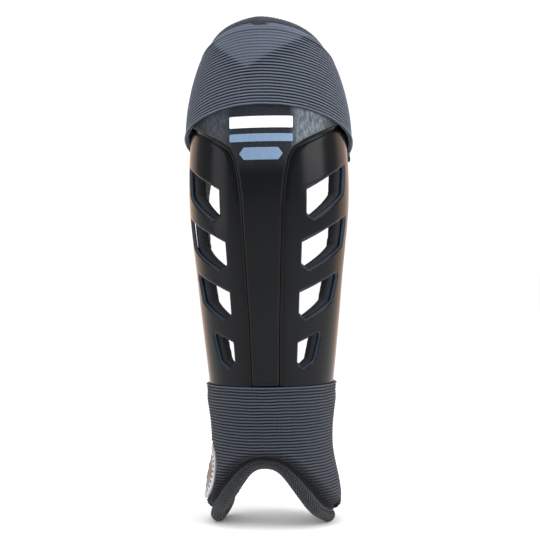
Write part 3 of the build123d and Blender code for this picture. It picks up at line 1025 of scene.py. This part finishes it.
# ---------------------------------------------------------------- straps
# Heights of a strap's edges, and angles from the back towards the right at its sewn root, at its
# swing hinge, at the hinge where its end peels off, and at its tip.
STRAPS = {
    "calf": dict(low=264, high=302, root=62, swing=52, peel=-30, tip=-60),
    "ankle": dict(low=56, high=94, root=54, swing=43, peel=-20, tip=-52),
}
WEB_SEAM = 11           # angle where the band's mesh meets the end's
THREAD_OFF = 9.1
STRAP_RUN = 62          # turns an angle at the back into millimetres for the small textures


def band_field(low, high, first, last, corner):
    """Rounded rectangle between two heights and two angles."""
    middle, half = (first + last) / 2, (last - first) / 2
    scale = arc_scale((low + high) / 2) + 12

    def field(th, z):
        up = z - (low + high) / 2
        return rounded_box((th - middle) * scale, up, half * scale, (high - low) / 2, corner)

    return field


def strap_part(name, first, last, low, high, under, over, corner=1.0, relief=None, step=(0.8, 0.8)):
    """A piece of strap between two angles from the back and two heights."""
    field = band_field(low, high, math.radians(180 - last), math.radians(180 - first), corner)

    def face(th, z, d):
        return over + (relief(th, z) if relief else 0.0) + lip(d, 0.6, 0.5)

    reach = (180 - last - 2, 180 - first + 2)
    return skin(name, reach, (low - 1, high + 1), step, field, face, rounded(under, 0.6, -0.4))


def ribs_along(low, high):
    """Woven ribs that run along the webbing, with raised selvedges."""
    def relief(th, z):
        cords = 0.16 * np.cos(2 * np.pi * (z - low) / 2.7)
        selvedge = 0.25 * (np.exp(-((z - low - 1.4) / 0.8) ** 2) + np.exp(-((z - high + 1.4) / 0.8) ** 2))
        picks = 0.08 * np.cos(2 * np.pi * th * 60 / 1.7)
        return cords + selvedge + picks

    return relief


def grips(th, z):
    return 0.55 * np.maximum(np.cos(2 * np.pi * th * STRAP_RUN / 2.6), 0) ** 0.5


def pile(th, z):
    run = th * STRAP_RUN
    return 0.22 * (np.sin(run * 3.1 + 2 * np.sin(z * 1.7)) * np.sin(z * 2.9 + 2 * np.sin(run * 1.3)))


def sewn_box(low, high, ends, first, last, inset):
    """Stitches as angle, height and slant: across the tape at both ends, then along both edges."""
    across = [(angle, z, math.pi / 2) for z in np.arange(low + 3, high - 2, 2.8) for angle in ends]
    along = [(angle, z, 0.0) for angle in np.arange(first, last, 2.6) for z in (low + inset, high - inset)]
    return across + along


def stitches(name, spots, length=2.2, radius=0.42):
    """Thread stitches: small rounded bars that lie on the webbing."""
    sides = 6
    circle = np.linspace(0, 2 * np.pi, sides, endpoint=False)
    along = np.array([-0.5, -0.3, 0.3, 0.5]) * length
    thick = np.array([0.35, 1.0, 1.0, 0.35]) * radius
    verts, faces = [], []
    for angle, z, slant in spots:
        th = math.radians(180 - angle)
        k = float(arc_scale(z)) + THREAD_OFF
        base = len(verts)
        for a, r in zip(along, thick):
            for q in circle:
                ds = a * math.cos(slant) - r * math.cos(q) * math.sin(slant)
                dz = a * math.sin(slant) + r * math.cos(q) * math.cos(slant)
                off = THREAD_OFF + r * math.sin(q)
                verts.append(place(np.array(th + ds / k), np.array(z + dz), off))
        for i in range(len(along) - 1):
            for j in range(sides):
                here, beside = base + sides * i + j, base + sides * i + (j + 1) % sides
                faces.append((here, beside, beside + sides, here + sides))
        faces.append(tuple(base + j for j in reversed(range(sides))))
        faces.append(tuple(base + sides * (len(along) - 1) + j for j in range(sides)))
    uv = np.tile([[0.0, 0.0], [0.01, 0.0], [0.02, 0.01]], (len(verts) // 3 + 1, 1))[:len(verts)]
    return new_object(name, np.array(verts), faces, uv)


def add_webbing(name, first, last, low, high, root, tip):
    """The part between two angles of the webbing that runs from root to tip."""
    whole = band_field(low, high, math.radians(180 - root), math.radians(180 - tip), 1.5)
    relief = ribs_along(low, high)

    def face(th, z, d):
        return 9.0 + relief(th, z) + lip(d, 0.7, 0.6)

    piece = skin(
        name, (180 - first, 180 - last), (low - 1, high + 1), (0.8, 0.45), whole, face,
        rounded(7.3, 0.7, -0.6),
    )
    piece.data.materials.append(WEBBING)
    return piece


def add_strap(word, low, high, root, swing, peel, tip):
    body, tab = word + "_strap", word + "_tab"
    band = add_webbing(word + "_webbing", root + 2, WEB_SEAM, low, high, root, tip)
    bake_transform(band)
    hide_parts(word + "_strap_root", word + "_strap_band")
    end = add_webbing(word + "_webbing_end", WEB_SEAM, tip - 2, low, high, root, tip)
    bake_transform(end)
    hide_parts(word + "_strap_end")

    weave = ribs_along(low, high)
    base = strap_part(word + "_strap_base", swing + 1.5, root, low, high, 3.2, 7.3, relief=weave)
    finish_piece(base, "guard", "webbing", WEBBING)
    hook = strap_part(word + "_hook_tape", tip + 1, peel - 4, low + 2, high - 2, 6.2, 7.4)
    finish_piece(hook, tab, "hook_tape", HOOKS, word + "_hook_patch")
    pull = strap_part(
        word + "_pull_grip", tip - 5, tip + 0.4, low + 6, high - 6, 6.4, 9.5, 3.5, grips, (0.4, 0.8),
    )
    finish_piece(pull, tab, "pull_rubber", RUBBER, word + "_pull_tab")
    flap = strap_part(word + "_tab_cloth", tip + 1, peel - 2, low, high, 3.2, 4.6, 2.0)
    finish_piece(flap, "guard", "webbing", BINDING, word + "_loop_tab")
    loops = strap_part(
        word + "_loop_tape", tip + 3, peel - 3, low + 2, high - 2, 4.5, 5.7, 1.5, pile, (0.5, 0.5),
    )
    finish_piece(loops, "guard", "loop_tape", LOOPS, word + "_loop_patch")

    spots = sewn_box(low, high, (root - 1.2, swing + 2.0), swing + 3.5, root - 2, 2.4)
    finish_piece(stitches(word + "_root_stitching", spots), "guard", "webbing", THREAD)
    spots = sewn_box(low, high, (tip + 2.2, peel - 5.2), tip + 4, peel - 6, 3.4)
    finish_piece(stitches(word + "_tab_stitching", spots), tab, "webbing", THREAD)


for word, sizes in STRAPS.items():
    add_strap(word, **sizes)


# ---------------------------------------------------------------- studio, in metres
AIM = (0, 0, 0.2)
WORLD_STRENGTH = 1.08
WORLD_LESS_IN_REFLECTIONS = -0.65
FLOOR_HALF = 30
CAMERA_TURN = math.radians(5.5)
CAMERA_ROLL = math.radians(-0.75)
CAMERA_DISTANCE = 0.9
CAMERA_HEIGHT = 0.1832


def staged(name, data):
    obj = bpy.data.objects.new(name, data)
    bpy.context.collection.objects.link(obj)
    return obj


def plane(name, corners, material):
    mesh = bpy.data.meshes.new(name)
    mesh.from_pydata(corners, [], [(0, 1, 2, 3)])
    mesh.materials.append(material)
    return staged(name, mesh)


def card(name, x0, x1, colour, strength):
    """A glowing upright card behind the object that only reflections see."""
    mat = bpy.data.materials.new(name)
    mat.use_nodes = True
    tree = mat.node_tree
    tree.nodes.clear()
    glow = add(tree, "ShaderNodeEmission", {"Color": (*colour, 1), "Strength": strength})
    out = add(tree, "ShaderNodeOutputMaterial")
    tree.links.new(glow.outputs[0], out.inputs["Surface"])
    obj = plane(name, [(x0, 0.7, -0.2), (x1, 0.7, -0.2), (x1, 0.7, 0.8), (x0, 0.7, 0.8)], mat)
    obj.visible_camera = False
    obj.visible_diffuse = False
    obj.visible_shadow = False


def area(name, at, size_x, size_y, energy):
    """A rectangular light that faces the object."""
    data = bpy.data.lights.new(name, "AREA")
    data.shape = "RECTANGLE"
    data.size = size_x
    data.size_y = size_y
    data.energy = energy
    obj = staged(name, data)
    obj.location = at
    obj.rotation_euler = (Vector(AIM) - Vector(at)).to_track_quat("-Z", "Y").to_euler()


WARM = (0.70, 0.52, 0.42)
card("warm_wall_left", -1.3, -0.16, WARM, 2.4)
card("warm_wall_right", 0.16, 1.3, WARM, 2.4)
area("key", (1.0, -0.42, 0.62), 0.7, 0.7, 7.0)
area("fill", (-1.1, -0.5, 0.5), 0.5, 0.9, 3.0)
area("top", (0.0, -0.15, 1.2), 0.6, 0.6, 4.0)

bpy.context.scene.view_settings.view_transform = "Standard"
world = bpy.context.scene.world or bpy.data.worlds.new("World")
bpy.context.scene.world = world
world.use_nodes = True
sky = world.node_tree.nodes["Background"]
sky.inputs["Color"].default_value = (1, 1, 1, 1)
glossy = add(world.node_tree, "ShaderNodeLightPath").outputs["Is Glossy Ray"]
strength = calc(world.node_tree, "MULTIPLY_ADD", glossy, WORLD_LESS_IN_REFLECTIONS, WORLD_STRENGTH)
world.node_tree.links.new(strength, sky.inputs["Strength"])

ground = cad_box[0][2] - 0.0005
floor_material, _, floor_shader = make("floor", 0.9)
floor_shader.inputs["Base Color"].default_value = (0.985, 0.985, 0.985, 1)
corners = [(x * FLOOR_HALF, y * FLOOR_HALF, ground) for x, y in ((-1, -1), (1, -1), (1, 1), (-1, 1))]
plane("floor", corners, floor_material)

camera = bpy.data.objects.new("camera", bpy.data.cameras.new("camera"))
bpy.context.collection.objects.link(camera)
camera.data.lens = 82.2
camera.data.sensor_width = 36
stand = Matrix.Translation((
    CAMERA_DISTANCE * math.sin(CAMERA_TURN), -CAMERA_DISTANCE * math.cos(CAMERA_TURN), CAMERA_HEIGHT,
))
camera.matrix_world = (
    stand @ Matrix.Rotation(CAMERA_TURN, 4, "Z") @ Matrix.Rotation(math.pi / 2, 4, "X")
    @ Matrix.Rotation(CAMERA_ROLL, 4, "Z")
)
bpy.context.scene.camera = camera
